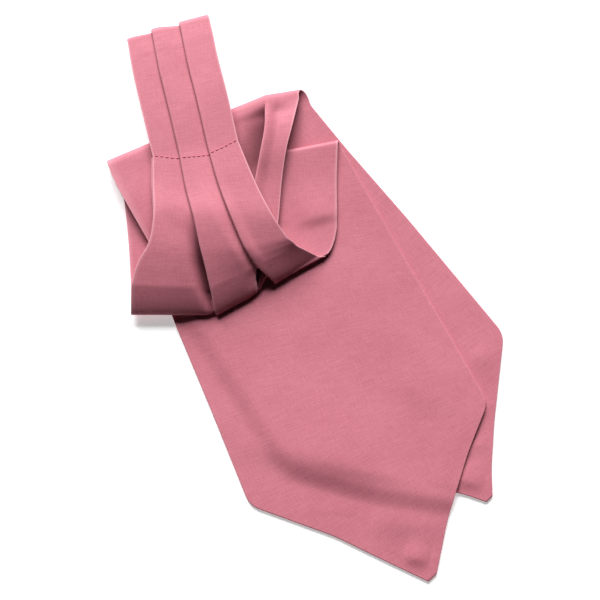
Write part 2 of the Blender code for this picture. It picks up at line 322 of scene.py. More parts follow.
def smooth(value):
    """A share from 0 to 1 that starts and ends gently."""
    value = min(max(value, 0.0), 1.0)
    return value * value * (3 - 2 * value)


def blend(start, end, share):
    """A point, or a table of points, between two others."""
    return np.asarray(start) * (1 - share) + np.asarray(end) * share


def through(rows, place):
    """A smooth curve through rows that are arrays of one shape, at a place from 0 to the last row."""
    k = min(int(place), len(rows) - 2)
    share = place - k
    here, after = rows[k], rows[k + 1]
    before = rows[k - 1] if k else 2 * here - after
    beyond = rows[k + 2] if k + 2 < len(rows) else 2 * after - here
    return 0.5 * (
        2 * here
        + (after - before) * share
        + (2 * before - 5 * here + 4 * after - beyond) * share**2
        + (3 * here - before - 3 * after + beyond) * share**3
    )


def softened(corners, place):
    """A point on a line of straight stretches whose corners are rounded off over CORNER millimetres."""
    corners = [np.array(corner) for corner in corners]
    k = min(int(place), len(corners) - 2)
    nearest = round(place)
    if 0 < nearest < len(corners) - 1:
        corner = corners[nearest]
        before = CORNER / np.linalg.norm(corner - corners[nearest - 1])
        after = CORNER / np.linalg.norm(corner - corners[nearest + 1])
        share = (place - nearest + before) / (before + after)
        if 0 < share < 1:
            start = blend(corner, corners[nearest - 1], before)
            end = blend(corner, corners[nearest + 1], after)
            return blend(blend(start, corner, share), blend(corner, end, share), share)
    return blend(corners[k], corners[k + 1], place - k)


def distances(points):
    """How far along a line of points each of them lies."""
    stretches = np.linalg.norm(np.diff(np.asarray(points, float), axis=0), axis=1)
    return np.concatenate(([0.0], np.cumsum(stretches)))


def at_shares(points, shares):
    """Points on a line of points, at shares of its length."""
    points = np.asarray(points, float)
    far = distances(points)
    wanted = np.asarray(shares) * far[-1]
    return np.stack([np.interp(wanted, far, points[:, k]) for k in range(points.shape[1])], axis=1)


def shares_of(path):
    """How far along a line each of its points lies, as a share of its length."""
    far = distances(path)
    return far / far[-1]


class Fold(NamedTuple):
    """A soft fold: where the upper cloth starts to turn, its outermost line, and where it lies flat below."""

    upper: tuple
    outer: tuple
    lower: tuple


def turned(fold, degrees):
    """The fold's section after it has turned so far: its points, and the way out from the cloth at each."""
    angle = math.radians(degrees)
    points = []
    outward = []
    for upper, outer, lower in zip(fold.upper, fold.outer, fold.lower):
        upper, lower = np.array(upper), np.array(lower)
        middle = (upper + lower) / 2
        reach = np.array((*outer, middle[2])) - middle
        level = blend(upper, lower, (1 - math.cos(angle)) / 2)
        points.append(level + reach * math.sin(angle))
        outward.append(UP * math.cos(angle) + reach / np.linalg.norm(reach) * math.sin(angle))
    return points, outward


print("corners are rounded over", CORNER, "mm")

# %% [markdown]
# ## Knife pleats
#
# A knife pleat is a panel that dives under the next one, turns back, and comes out on top of it. A
# section across the pleated band is therefore one long zigzag line. It is written once, for any number of
# panels, and every row of the neckband, the fan and the back return uses it. A pleat that gapes is an
# open trough between two panels. A narrow line at the foot of each pressed edge is painted dark, because
# no light reaches in between the layers there.

# %% A section across the pleats
BLADE_WALL = 1.4
PLEAT_WALL = 0.9
SEAM_GAP = 0.3
PLEAT_STEP = 1.05
BLADE_STEP = BLADE_WALL + SEAM_GAP
PRESSED = 2 * PLEAT_STEP
PANEL_STEPS = 18
UNDER_STEPS = 4
TURN_ANGLES = np.radians((-60.0, -30.0, 0.0, 30.0, 60.0))
# The painted shade line at a pressed edge's foot: how wide it is, and how dark from 0 to 1.
EDGE_SHADE = 2.2
CONTACT_SHADE = 0.8
# A pleat that drops further than the first of these takes painted shade as a dark hollow, which grows over
# the second.
HOLLOW_DROP = 2.3
HOLLOW_RANGE = 3.2
# How far a pleat gapes when it counts as open, and how deep its trough is once it gapes so far.
OPEN_GAPE = 2.5
TROUGH_GAPE = 6.0
TROUGH_DEPTH = 7.0
# The last panel reaches the height of its right edge over this distance.
SETTLE_RUN = 7.0


class Pleat(NamedTuple):
    """How far a pleat runs under the next panel, how deep and how gently it dives, and how far it gapes."""

    underlap: float
    drop: float
    dive: float
    gape: float = 0.0


class Section(NamedTuple):
    """A line across pleated cloth: its left edge, the pleats' edges and its right edge, and each pleat."""

    edges: tuple
    pleats: tuple


def pleated(edges, outward, pleats):
    """Points across pleated cloth: each panel dives under the next, turns back and comes out on top.

    After its place, each point says how much painted shade it takes inside a pleat and how much painted
    highlight it takes on a pressed edge, from 0 to 1.
    """
    last = len(edges) - 1
    run = [edges[k + 1] - edges[k] for k in range(last)]
    lengths = [np.linalg.norm(stretch) for stretch in run]
    path, shade, highlight = [], [], []

    def panel(k, distance):
        rise = run[k][2] * UP
        level = edges[k] + (run[k] - rise) * distance / lengths[k]
        if k + 1 == last:
            return level + rise * smooth(distance / SETTLE_RUN)
        pleat = Pleat(*pleats[k])
        under = smooth((distance - lengths[k] + pleat.gape + pleat.dive) / pleat.dive)
        return level + (rise - pleat.drop * outward[k + 1]) * under

    def turn(centre, side, up, radius):
        return [centre + radius * (side * math.cos(a) + up * math.sin(a)) for a in TURN_ANGLES]

    for k in range(last):
        pleat = Pleat(*pleats[k]) if k + 1 < last else Pleat(underlap=0.0, drop=0.0, dive=SETTLE_RUN)
        shown = lengths[k] - pleat.gape
        open_share = min(max(pleat.gape, 0.0) / OPEN_GAPE, 1.0)
        hollow_shade = smooth((pleat.drop - HOLLOW_DROP) / HOLLOW_RANGE)
        for step in range(PANEL_STEPS + 1):
            distance = shown * step / PANEL_STEPS
            path.append(panel(k, distance))
            # Painted shade: dark where a pleat dives deep, and a dark line at the foot of the next pressed
            # edge; none once the pleat gapes open.
            under = smooth((distance - shown + pleat.dive) / pleat.dive) * hollow_shade
            contact = 0.0
            if k + 1 < last:
                contact = CONTACT_SHADE * smooth((distance - shown + EDGE_SHADE) / EDGE_SHADE)
            shade.append(max(under, contact) * (1.0 - open_share))
            # Painted highlight: pale on a pressed edge and at the end of a gaping panel.
            if 0 < step < PANEL_STEPS:
                highlight.append(0.0)
            elif step == 0 and k > 0:
                highlight.append(0.1)
            else:
                highlight.append(0.7 * open_share)
        if k + 1 == last:
            break
        underlap, drop, gape = pleat.underlap, pleat.drop, pleat.gape
        edge, up, side = edges[k + 1], outward[k + 1], run[k + 1] / lengths[k + 1]
        reach = [underlap * step / UNDER_STEPS for step in range(1, UNDER_STEPS + 1)]
        below = [panel(k + 1, distance) - drop * up for distance in reach]
        back = [panel(k + 1, far) - up * (PLEAT_STEP + (drop - PRESSED) * far / underlap) for far in reach]
        inner = turn((below[-1] + back[-1]) / 2, side, up, PLEAT_STEP / 2)
        if gape > 0.0:
            # The open pleat is a trough: down from the panel's end, along its floor and up to the next edge.
            forth = run[k] / lengths[k] * gape
            start = path[-1]
            depth = PLEAT_STEP + TROUGH_DEPTH * min(gape / TROUGH_GAPE, 1.0)
            wall = [start + forth * 0.12 * s - up * depth * s**0.7 for s in (0.25, 0.5, 0.75, 1.0)]
            floor = [start + forth * share - up * depth for share in (0.25, 0.4, 0.55, 0.7, 0.85)]
            rise = [edge - up * (PLEAT_STEP + (depth - PLEAT_STEP) * s) for s in (0.2, 0.45, 0.7, 0.95)]
            below = [blend(a, b, open_share) for a, b in zip(below, wall)]
            inner = [blend(a, b, open_share) for a, b in zip(inner, floor)]
            back = [blend(a, b, open_share) for a, b in zip(back, rise)]
        path += below + inner + back[::-1]
        path.append(edge - PLEAT_STEP * up)
        path += turn(edge - PLEAT_STEP / 2 * up, -side, up, PLEAT_STEP / 2)
        # Painted shade on the layers inside the pleat, painted highlight round its pressed edge.
        shade += [1.0] * (2 * UNDER_STEPS + len(TURN_ANGLES) + 1) + [0.6, 0.2, 0.0, 0.0, 0.0]
        highlight += [0.0] * (2 * UNDER_STEPS + len(TURN_ANGLES)) + [0.0, 0.1, 0.3, 0.5, 0.5, 0.3]
    return np.column_stack((path, shade, highlight))


def lofted(sections, steps):
    """Pleated rows on smooth curves through the sections, all lying level."""
    wide = len(sections[0].edges) * 3
    tables = [np.array((*np.ravel(row.edges), *np.ravel(row.pleats))) for row in sections]
    rows = []
    for step in range(steps + 1):
        values = through(tables, (len(tables) - 1) * step / steps)
        edges = list(values[:wide].reshape(-1, 3))
        rows.append(pleated(edges, [UP] * len(edges), values[wide:].reshape(-1, 4)))
    return rows


print("a pleat pressed flat lies", PRESSED, "mm above the panel below it")

# %% [markdown]
# ## From a net to cloth
#
# The tie is two plies of satin, sewn along the edges and turned. A plain wall would show a square edge.
# So each row of the net becomes a closed line round the cloth: over the top, round two small lobes with a
# groove between them, back underneath, and round the other edge. The lobes are the two plies. Rows of
# such lines make a closed shell, and its ends are rounded off. The UV map is written at the same time,
# from the distances across and along the cloth. Solidify would be quicker, but its rim is one square
# strip, without the two plies.

# %% Build a shell of two plies
LOBE_ANGLES = np.radians((55.0, 20.0, -15.0, -50.0))
END_ANGLES = np.radians((30.0, 58.0, 80.0))
# The painted highlight at each point round a two-ply rim: pale on the lobes, none in the groove.
RIM_HIGHLIGHT = [1.0, 1.0, 0.8, 0.2, -0.5, 0.2, 0.8, 1.0, 1.0]
BORDER = 0.6
UNDERSIDE_SHIFT = 3.0 * UV_SPAN


def directions(net, axis):
    """The way the net runs at each point along one axis, as the mean of the stretches on its two sides."""
    steps = np.diff(net, axis=axis)
    steps /= np.maximum(np.linalg.norm(steps, axis=2, keepdims=True), 1e-9)
    first = np.take(steps, [0], axis=axis)
    last = np.take(steps, [-1], axis=axis)
    mean = np.concatenate((first, steps), axis=axis) + np.concatenate((steps, last), axis=axis)
    return mean / np.maximum(np.linalg.norm(mean, axis=2, keepdims=True), 1e-9)


def rim_line(wall):
    """How far out and how high each point of a two-ply edge lies, from the top face down to the lower one."""
    lobe = wall / 4
    upper = [(lobe * math.cos(a), lobe + lobe * math.sin(a)) for a in LOBE_ANGLES]
    return [*upper, (-0.12 * wall, 0.0), *[(out, -high) for out, high in reversed(upper)]]


def bordered(rows, rim_highlight):
    """The net with a narrow column along each side, and the painted shade and painted highlight of each
    point.
    """
    table = np.zeros((len(rows), len(rows[0]), 5))
    for k, row in enumerate(rows):
        table[k, :, : np.shape(row)[1]] = row
    borders = []
    for side, near in ((0, 1), (-1, -2)):
        stretch = np.linalg.norm(table[:, near, :3] - table[:, side, :3], axis=1)
        share = np.minimum(BORDER / np.maximum(stretch, 1e-6), 0.5)[:, None]
        borders.append(table[:, side] * (1 - share) + table[:, near] * share)
    left, right = borders[0][:, None], borders[1][:, None]
    table = np.concatenate((table[:, :1], left, table[:, 1:-1], right, table[:, -1:]), axis=1)
    # Painted highlight along both rims, strongest on the outer columns.
    for column, share in ((0, 0.9), (1, 0.35), (-2, 0.35), (-1, 0.9)):
        table[:, column, 4] = np.maximum(table[:, column, 4], share * rim_highlight)
    return table[:, :, :3], table[:, :, 3], table[:, :, 4]


def shell_faces(ring_count, spots, width, rim_count):
    """The faces between the rings of a closed shell, and those that close its two ends."""
    faces = []
    for r in range(ring_count - 1):
        for c in range(spots):
            d = (c + 1) % spots
            faces.append((r * spots + c, r * spots + d, (r + 1) * spots + d, (r + 1) * spots + c))
    opposite = 2 * width + rim_count - 1
    for base in (0, (ring_count - 1) * spots):
        for c in range(width - 1):
            faces.append((base + c, base + opposite - c, base + opposite - c - 1, base + c + 1))
        faces.append(tuple(base + width - 1 + k for k in range(rim_count + 2)))
        faces.append((*[base + opposite + k for k in range(rim_count + 1)], base))
    return faces


def face_outwards(piece):
    """Turns all faces of a closed piece outwards, with the operator that does it by hand."""
    for thing in bpy.context.view_layer.objects:
        thing.select_set(False)
    piece.select_set(True)
    bpy.context.view_layer.objects.active = piece
    bpy.ops.object.mode_set(mode="EDIT")
    bpy.ops.mesh.select_all(action="SELECT")
    bpy.ops.mesh.normals_make_consistent(inside=False)
    bpy.ops.object.mode_set(mode="OBJECT")
    piece.select_set(False)


def painted_mesh(name, points, faces, painted_light_and_shade, flat_uv, finish):
    """An object with a smooth mesh, the painted shade and painted highlight on its points, and a UV map."""
    mesh = bpy.data.meshes.new(name)
    mesh.from_pydata([tuple(point) for point in points], [], faces)
    mesh.update()
    for label, values in painted_light_and_shade.items():
        attribute = mesh.attributes.new(label, "FLOAT", "POINT")
        attribute.data.foreach_set("value", values.ravel().astype(np.float32))
    uv = mesh.uv_layers.new(name="cloth")
    corner_points = np.empty(len(mesh.loops), np.int32)
    mesh.loops.foreach_get("vertex_index", corner_points)
    uv.data.foreach_set("uv", flat_uv[corner_points].ravel().astype(np.float32))
    mesh.shade_smooth()
    mesh.materials.append(finish)
    piece = bpy.data.objects.new(name, mesh)
    scene.collection.objects.link(piece)
    face_outwards(piece)
    return piece


# %% [markdown]
# ## The shell itself
#
# The net goes in as rows of points, the wall's thickness as a number or as one number a row.

# %% Wrap a net in two plies
def two_ply_cloth(name, rows, walls, finish, rim_highlight=1.0):
    """A closed shell round a net in millimetres. The rims' painted highlight is given from 0 to 1 at each
    row.
    """
    rim_highlight = np.broadcast_to(np.asarray(rim_highlight, float), (len(rows),))
    net, inside, edge = bordered(rows, rim_highlight)
    count, width = net.shape[:2]
    walls = np.broadcast_to(np.asarray(walls, float), (count,))
    across, along = directions(net, 1), directions(net, 0)
    normal = np.cross(across, along)
    normal /= np.maximum(np.linalg.norm(normal, axis=2, keepdims=True), 1e-9)
    rim = rim_line(1.0)

    # Each point of the closed line: which column it belongs to, how far out it lies and how high, in walls.
    columns = list(range(width)) + [width - 1] * len(rim) + list(range(width - 1, -1, -1)) + [0] * len(rim)
    out = np.array([0.0] * width + [o for o, _ in rim] + [0.0] * width + [-o for o, _ in reversed(rim)])
    high = np.array([0.5] * width + [h for _, h in rim] + [-0.5] * width + [h for _, h in reversed(rim)])
    lobe_highlight = np.array([0.0] * width + RIM_HIGHLIGHT + [0.0] * width + RIM_HIGHLIGHT)
    middle = net[:, columns]
    aside = across[:, columns] * out[None, :, None] + normal[:, columns] * high[None, :, None]
    aside = aside * walls[:, None, None]
    rings = [middle[k] + aside[k] for k in range(count)]
    head, tail = along[0, columns] * walls[0] / 2, along[-1, columns] * walls[-1] / 2
    heads = [middle[0] + aside[0] * math.cos(a) - head * math.sin(a) for a in END_ANGLES]
    tails = [middle[-1] + aside[-1] * math.cos(a) + tail * math.sin(a) for a in END_ANGLES]
    rings = np.array([*heads[::-1], *rings, *tails])

    stretches = np.linalg.norm(np.diff(net, axis=1), axis=2)
    far_across = np.concatenate((np.zeros((count, 1)), np.cumsum(stretches, axis=1)), axis=1)
    far_across -= far_across[:, -1:] / 2
    far_along = distances(net[:, width // 2])

    spots = len(columns)
    faces = shell_faces(len(rings), spots, width, len(rim))
    rim_out = [o * PLEAT_WALL for o, _ in rim]
    side_step = np.array([0.0] * width + rim_out + [0.0] * width + rim_out)
    turn_over = np.array([0.0] * (width + len(rim)) + [UNDERSIDE_SHIFT] * (width + len(rim)))
    picks = np.clip(np.arange(len(rings)) - len(END_ANGLES), 0, count - 1)
    place_across = far_across[picks][:, columns] + side_step + turn_over
    place_along = np.repeat(far_along[picks][:, None], spots, axis=1)
    in_rim = np.array([False] * width + [True] * len(rim) + [False] * width + [True] * len(rim))
    # The rim's lobes take painted highlight; the other points keep the net's painted highlight and painted
    # shade.
    edges = np.where(in_rim[None, :], lobe_highlight[None, :] * rim_highlight[picks][:, None], edge[picks][:, columns])
    painted_shades = inside[picks][:, columns]

    points = (rings.reshape(-1, 3) - CENTRE) * MM
    flat_uv = np.stack((place_across.ravel(), place_along.ravel()), axis=1) / UV_SPAN
    # The attribute "edge" holds the painted highlight, the attribute "inside" the painted shade.
    piece = painted_mesh(name, points, faces, {"edge": edges, "inside": painted_shades}, flat_uv, finish)
    return piece


print("a two-ply rim has", len(RIM_HIGHLIGHT), "lines of points")

# %% [markdown]
# ## Creases
#
# Pressed satin is never quite flat. A crease is a soft ridge or trough along a short line. Each is given
# by its two ends, how wide it is, how high it rises, and how many times wider it is on its left
# side, seen from the start. Cloth that lies on something can only rise, so the blades get low ridges, and
# the troughs between them lie flat.


# %% Ridges and troughs
CREASE_END = 0.15


class Crease(NamedTuple):
    """A soft ridge, or a trough where its height is negative."""

    start: tuple
    end: tuple
    width: float
    height: float
    spread: float = 1.0


def crease_height(points, creases):
    """How far the creases lift each point of a row, in millimetres."""
    points = np.asarray(points, float)
    total = np.zeros(len(points))
    for crease in creases:
        start, end = np.array(crease.start), np.array(crease.end)
        run = end - start
        share = np.clip(((points[:, :2] - start) @ run) / (run @ run), 0.0, 1.0)
        gap = points[:, :2] - start - share[:, None] * run
        on_left = run[0] * gap[:, 1] - run[1] * gap[:, 0] > 0.0
        away = np.linalg.norm(gap, axis=1) / np.where(on_left, crease.width * crease.spread, crease.width)
        along = CREASE_END + (1.0 - CREASE_END) * np.sin(math.pi * share)
        total += crease.height * np.exp(-away * away) * along
    return total


def creased(rows, creases):
    """Rows of points, lifted by the creases."""
    lifted = []
    for row in rows:
        row = np.array(row, float)
        row[:, 2] += crease_height(row, creases)
        lifted.append(row)
    return lifted


print("creases are placed in millimetres on the table")

# %% [markdown]
# ## The net of each half
#
# The tie is one band, folded in half at its centre back. Each half is one long net, from the tip of its
# blade over the fold and down its return. Plain rows have their columns evenly apart. Towards the pleats
# the columns draw together where a pleat will be, so that the plain cloth runs on into the pleats without
# a seam.

# %% Rows of the blades
BACK_BLADE_Z = BLADE_WALL / 2
FRONT_BLADE_Z = BACK_BLADE_Z + BLADE_STEP
FRONT_RETURN_Z = FRONT_BLADE_Z + BLADE_STEP
# How strong the painted highlight on the blades' rims is.
BLADE_RIM_HIGHLIGHT = 0.12
LINE_STEPS = 120


def across_cloth(edges, shares):
    """Points across plain cloth, on a smooth line through its edges."""
    rows = [np.array(edge, float) for edge in edges]
    line = [through(rows, (len(rows) - 1) * step / LINE_STEPS) for step in range(LINE_STEPS + 1)]
    return at_shares(line, shares)


def blade_rows(outline, steps, shares, fold_shares, fade):
    """Rows of plan points from the fold to the tip. Over the first rows the columns spread out evenly."""
    left = [row[0] for row in outline]
    right = [row[1] for row in outline]
    rows = []
    for step in range(1, steps + 1):
        place = (len(outline) - 1) * step / steps
        spread = blend(fold_shares, shares, smooth(step / fade))
        rows.append(at_shares([softened(left, place), softened(right, place)], spread))
    return rows


print("the blades lie at", BACK_BLADE_Z, "and", FRONT_BLADE_Z, "mm")

# %% [markdown]
# ## The back half: a blade and its return
#
# The blade underneath lies flat on the table, turned to the right. At its top it folds over and runs back
# down under the neckband, with one deep pleat whose edge stands proud as a soft strip. Left of the strip
# the cloth sinks into a recess.

# %% Measures of the back half
BACK_BLADE_ROWS = 114
BACK_SPREAD_ROWS = 40
BACK_FOLD_TURN = 12
BACK_RETURN_ROWS = 52
PLEAT_RUN_IN = 5
PLEAT_WAIT = 0.02
# Past the fold the wall thins, and the painted highlight on the rims grows, over so many rows.
WALL_FADE = 8
RIM_FADE = 16
BACK_BLADE = (
    ((-111.6, 77.0), (5.8, 121.2)),
    ((-76.0, 22.0), (26.9, 93.8)),
    ((-38.0, -38.0), (63.8, 48.8)),
    ((-1.0, -95.0), (118.4, -21.0)),
    ((48.0, -108.5), (111.6, -71.6)),
    ((91.5, -113.8), (109.2, -100.0)),
    ((105.8, -118.8), (109.4, -115.4)),
)
BACK_FOLD = Fold(
    upper=((-113.0, 79.0, 7.8), (-20.2, 120.0, 8.2), (-0.8, 123.6, 5.2)),
    outer=((-114.4, 83.9), (-20.0, 125.3), (1.4, 129.5)),
    lower=((-111.6, 77.8, BACK_BLADE_Z), (-16.0, 118.6, BACK_BLADE_Z), (5.8, 121.6, BACK_BLADE_Z)),
)
BACK_RETURN = (
    Section(BACK_FOLD.upper, ((1.6, 2.2, 12.0, 0.0),)),
    Section(((-107.8, 67.4, 8.4), (-20.2, 104.0, 10.8), (-4.6, 105.5, 9.0)), ((7.0, 5.4, 20.0, 0.0),)),
    Section(((-102.0, 57.0, 8.8), (-22.6, 88.6, 11.2), (-8.3, 89.4, 9.8)), ((9.0, 5.6, 22.0, 0.0),)),
    Section(((-95.8, 46.0, 8.6), (-25.6, 72.0, 9.2), (-11.0, 69.5, 8.0)), ((8.5, 3.4, 18.0, 0.0),)),
    Section(((-89.2, 34.4, 7.6), (-29.6, 52.0, 7.8), (-12.9, 46.3, 7.0)), ((8.0, 2.3, 12.0, 0.0),)),
    Section(((-82.0, 21.0, 6.2), (-34.0, 31.0, 7.6), (-15.5, 30.5, 6.8)), ((8.0, 2.3, 10.0, 0.0),)),
)
BACK_CREASES = (
    Crease((92.0, -70.0), (112.0, -62.0), 5.0, 0.5),
    Crease((88.0, -92.0), (108.0, -84.0), 4.0, 0.4),
    Crease((86.0, -104.0), (105.0, -109.5), 4.5, 1.0, 2.5),
    Crease((98.0, -40.0), (112.0, -30.0), 6.0, 0.5),
)
BACK_COLUMNS = len(pleated(*turned(BACK_FOLD, 0), BACK_RETURN[0].pleats))
print("the back half has", BACK_COLUMNS, "columns")

# %% [markdown]
# ### Where the strip's pleat starts
#
# The strip's pleat starts a little below the fold, out of plain cloth. So the first rows of the return
# are blended from plain cloth into pleated cloth, over PLEAT_RUN_IN rows. On the blade the columns then
# spread out evenly again.


# %% Lay the back half
def before_pleat(edges):
    """Points across plain cloth before the strip's pleat. The pleat's columns wait close by its edge."""
    edge = shares_of(edges)[1]
    stops = (0, PANEL_STEPS, BACK_COLUMNS - 1 - PANEL_STEPS, BACK_COLUMNS - 1)
    shares = np.interp(np.arange(BACK_COLUMNS), stops, (0.0, edge - PLEAT_WAIT, edge, 1.0))
    return at_shares(edges, shares), shares


even_back = np.linspace(0.0, 1.0, BACK_COLUMNS)
fold_shares = before_pleat(turned(BACK_FOLD, 180)[0])[1]
plan = blade_rows(BACK_BLADE, BACK_BLADE_ROWS, even_back, fold_shares, BACK_SPREAD_ROWS)
back_net = creased([[(*point, BACK_BLADE_Z) for point in row] for row in plan][::-1], BACK_CREASES)
blade_count = len(back_net)
back_net += [before_pleat(turned(BACK_FOLD, degrees)[0])[0] for degrees in range(180, 0, -BACK_FOLD_TURN)]
return_edges = [np.array(section.edges) for section in BACK_RETURN]
for k, row in enumerate(lofted(BACK_RETURN, BACK_RETURN_ROWS)):
    start_edges = through(return_edges, k * (len(BACK_RETURN) - 1) / BACK_RETURN_ROWS)
    plain = np.column_stack((before_pleat(start_edges)[0], np.zeros((BACK_COLUMNS, 2))))
    back_net.append(blend(plain, row, smooth(k / PLEAT_RUN_IN)))
rows_along = np.arange(len(back_net))
back_walls = np.interp(rows_along, (blade_count, blade_count + WALL_FADE), (BLADE_WALL, PLEAT_WALL))
back_rim_highlight = np.interp(rows_along, (blade_count, blade_count + RIM_FADE), (BLADE_RIM_HIGHLIGHT, 1.0))
back_half_cloth = two_ply_cloth("back_half_cloth", back_net, back_walls, satin, back_rim_highlight)

# %% [markdown]
# ## The hidden layers
#
# Between the front fan and the back return lie the back half's own fan and its fold. Only their edges
# show, left of the neckband, so they are one stack of cloth that is folded back and forth. Each row of
# HIDDEN is a section: the left edge, the right edge, and the heights of the stack's underside and top.

# %% Stack the hidden layers
HIDDEN = (
    (-88.4, 83.0, -39.5, 92.0, 9.6, 12.7),
    (-88.2, 66.0, -34.0, 70.0, 9.9, 13.4),
    (-87.0, 48.0, -24.5, 50.0, 10.2, 13.4),
    (-87.0, 36.0, -21.0, 40.0, 10.0, 11.6),
    (-86.0, 30.0, -25.0, 34.0, 9.8, 10.8),
)
HIDDEN_LAYERS = 3
HIDDEN_ROWS = 30
HIDDEN_WALL = 0.5
HIDDEN_SHARES = np.linspace(0.02, 0.98, 14)


def hidden_section(place):
    """A zigzag line down through the stack: each layer of cloth, folded into the next."""
    left, left_y, right, right_y, low, high = through([np.array(row) for row in HIDDEN], place)
    layer = (high - low) / HIDDEN_LAYERS
    path = []
    for k in range(HIDDEN_LAYERS):
        z = high - layer * (k + 0.5)
        line = [(blend(left, right, share), blend(left_y, right_y, share), z) for share in HIDDEN_SHARES]
        path += line if k % 2 == 0 else line[::-1]
    return path


hidden_places = [(len(HIDDEN) - 1) * step / HIDDEN_ROWS for step in range(HIDDEN_ROWS + 1)]
hidden_rows = [hidden_section(place) for place in hidden_places]
# The hidden layers wear the darker copy of the satin, as painted shade.
hidden_cloth = two_ply_cloth("hidden_cloth", hidden_rows, HIDDEN_WALL, shaded_satin)

# %% [markdown]
# ## The fan's fold
#
# Below the stitches the pleats spread into a fan, which slopes down to a soft fold and turns under. The
# fold isn't round: the cloth comes down in a long slope, then steeply to a crease close to the blade.
# Each of its four lines has a start, a nose and an end, and the turn runs from 0 at the start, through 1
# at the nose, to 2 at the end.

# %% Turn the fan under
FAN_UPPER = ((-97.6, 5.6, 12.6), (-51.2, 3.8, 13.0), (-24.9, 17.4, 13.6), (-2.3, 29.2, 13.4))
FAN_NOSE = ((-98.0, -9.9, 4.8), (-48.0, -9.9, 5.0), (-14.2, 8.9, 5.2), (9.9, 25.1, 5.8))
FAN_LOWER = (
    (-98.1, 3.0, FRONT_RETURN_Z),
    (-51.4, 2.9, FRONT_RETURN_Z),
    (-15.7, 21.9, FRONT_RETURN_Z),
    (21.5, 42.6, FRONT_RETURN_Z + SEAM_GAP),
)
# For each place on the turn, the first pleat and the second: underlap, drop, dive and gape.
FOLD_PLEATS = (
    (0.00, (2.4, 7.4, 10.5, 0.0), (2.0, 2.4, 8.0, 0.6)),
    (0.25, (2.2, 7.0, 9.0, 0.0), (1.6, 2.0, 8.0, 5.0)),
    (0.50, (2.0, 6.2, 7.5, 0.0), (1.6, 1.5, 8.0, 8.6)),
    (0.75, (1.8, 4.8, 6.0, 0.0), (1.6, 1.0, 7.0, 11.0)),
    (1.00, (1.6, 2.6, 5.0, 0.0), (1.6, 0.7, 6.0, 12.5)),
    (1.50, (1.5, 2.1, 7.0, 0.0), (1.6, 1.4, 5.0, 8.0)),
    (2.00, (1.4, 2.1, 7.0, 0.0), (1.4, 2.1, 7.0, 0.0)),
)
# The fold's profile is a curve with two handles: how far out it has come, and how far it has fallen.
FORWARD_HANDLES = (0.38, 0.94)
FALL_HANDLES = (0.27, 0.68)
# How the open loop at the right bulges out below the nose: which way, and how strongly.
LOOP_BULGE = np.array((7.5, -2.5))
BULGE_GROWTH = 2.4


def eased(share, first, second):
    """A curve from 0 to 1 whose two handles lie at the given heights."""
    rest = 1.0 - share
    return 3 * rest * rest * share * first + 3 * rest * share * share * second + share**3


def fan_fold(turn):
    """The fold's four lines at a place on its turn, the way out from the cloth at each, and its pleats."""
    points, outward = [], []
    late = max(turn - 1.0, 0.0)
    early = min(turn, 1.0)
    forward = eased(early, *FORWARD_HANDLES)
    fall = eased(early, *FALL_HANDLES)
    for k, (upper, nose, lower) in enumerate(zip(FAN_UPPER, FAN_NOSE, FAN_LOWER)):
        upper, nose, lower = np.array(upper), np.array(nose), np.array(lower)
        # The right edge runs straight to the nose, so the loop tapers there.
        reach = fall if k == 3 else forward
        point = np.array((*blend(upper[:2], nose[:2], reach), blend(upper[2], nose[2], fall)))
        if late:
            bulge = LOOP_BULGE * (late * (1 - late) * BULGE_GROWTH) if k == 3 else 0.0
            plan = blend(nose[:2], lower[:2], late * late) + bulge
            point = np.array((*plan, blend(nose[2], lower[2], 1 - (1 - late) ** 2)))
        away = nose[:2] - lower[:2]
        away = np.array((*away, 0.0)) / np.linalg.norm(away)
        points.append(point)
        outward.append(UP * math.cos(turn * math.pi / 2) + away * math.sin(turn * math.pi / 2))
    places = [row[0] for row in FOLD_PLEATS]
    tables = [np.ravel(row[1:]) for row in FOLD_PLEATS]
    values = [np.interp(turn, places, column) for column in zip(*tables)]
    return points, outward, (tuple(values[:4]), tuple(values[4:]))


print("the fan's crease lies", FAN_NOSE[1][2], "mm above the table")

# %% [markdown]
# ## The front half: blade, return, fan and neckband
#
# The showpiece is one net. The front blade lies on the back one and drops to the table past its edge. At
# the top it folds over and runs back down under the pleats. There it turns up over the fan's fold, runs
# up the fan past the stitches, and along the neckband to the fold at the centre back and a little way
# underneath.

# %% Measures of the front half
FRONT_BLADE_ROWS = 118
FRONT_FOLD_TURN = 15
RETURN_ROWS = 34
FAN_FOLD_ROWS = 32
FAN_FOLD_START = 1.92
FAN_ROWS = 46
BAND_ROWS = 34
BAND_TURN = 15
# The blade starts to drop so far past the edge below it, and has dropped after so much more.
DROP_START = 3.0
DROP_RUN = 12.0
# On the return the columns gather for the pleats at this pace. Their places are those at COLUMN_TURN.
GATHER_PACE = 1.2
COLUMN_TURN = 1.9
# The pleats open over this much of the fold's turn, counted from its end.
OPENING_TURN = 0.4
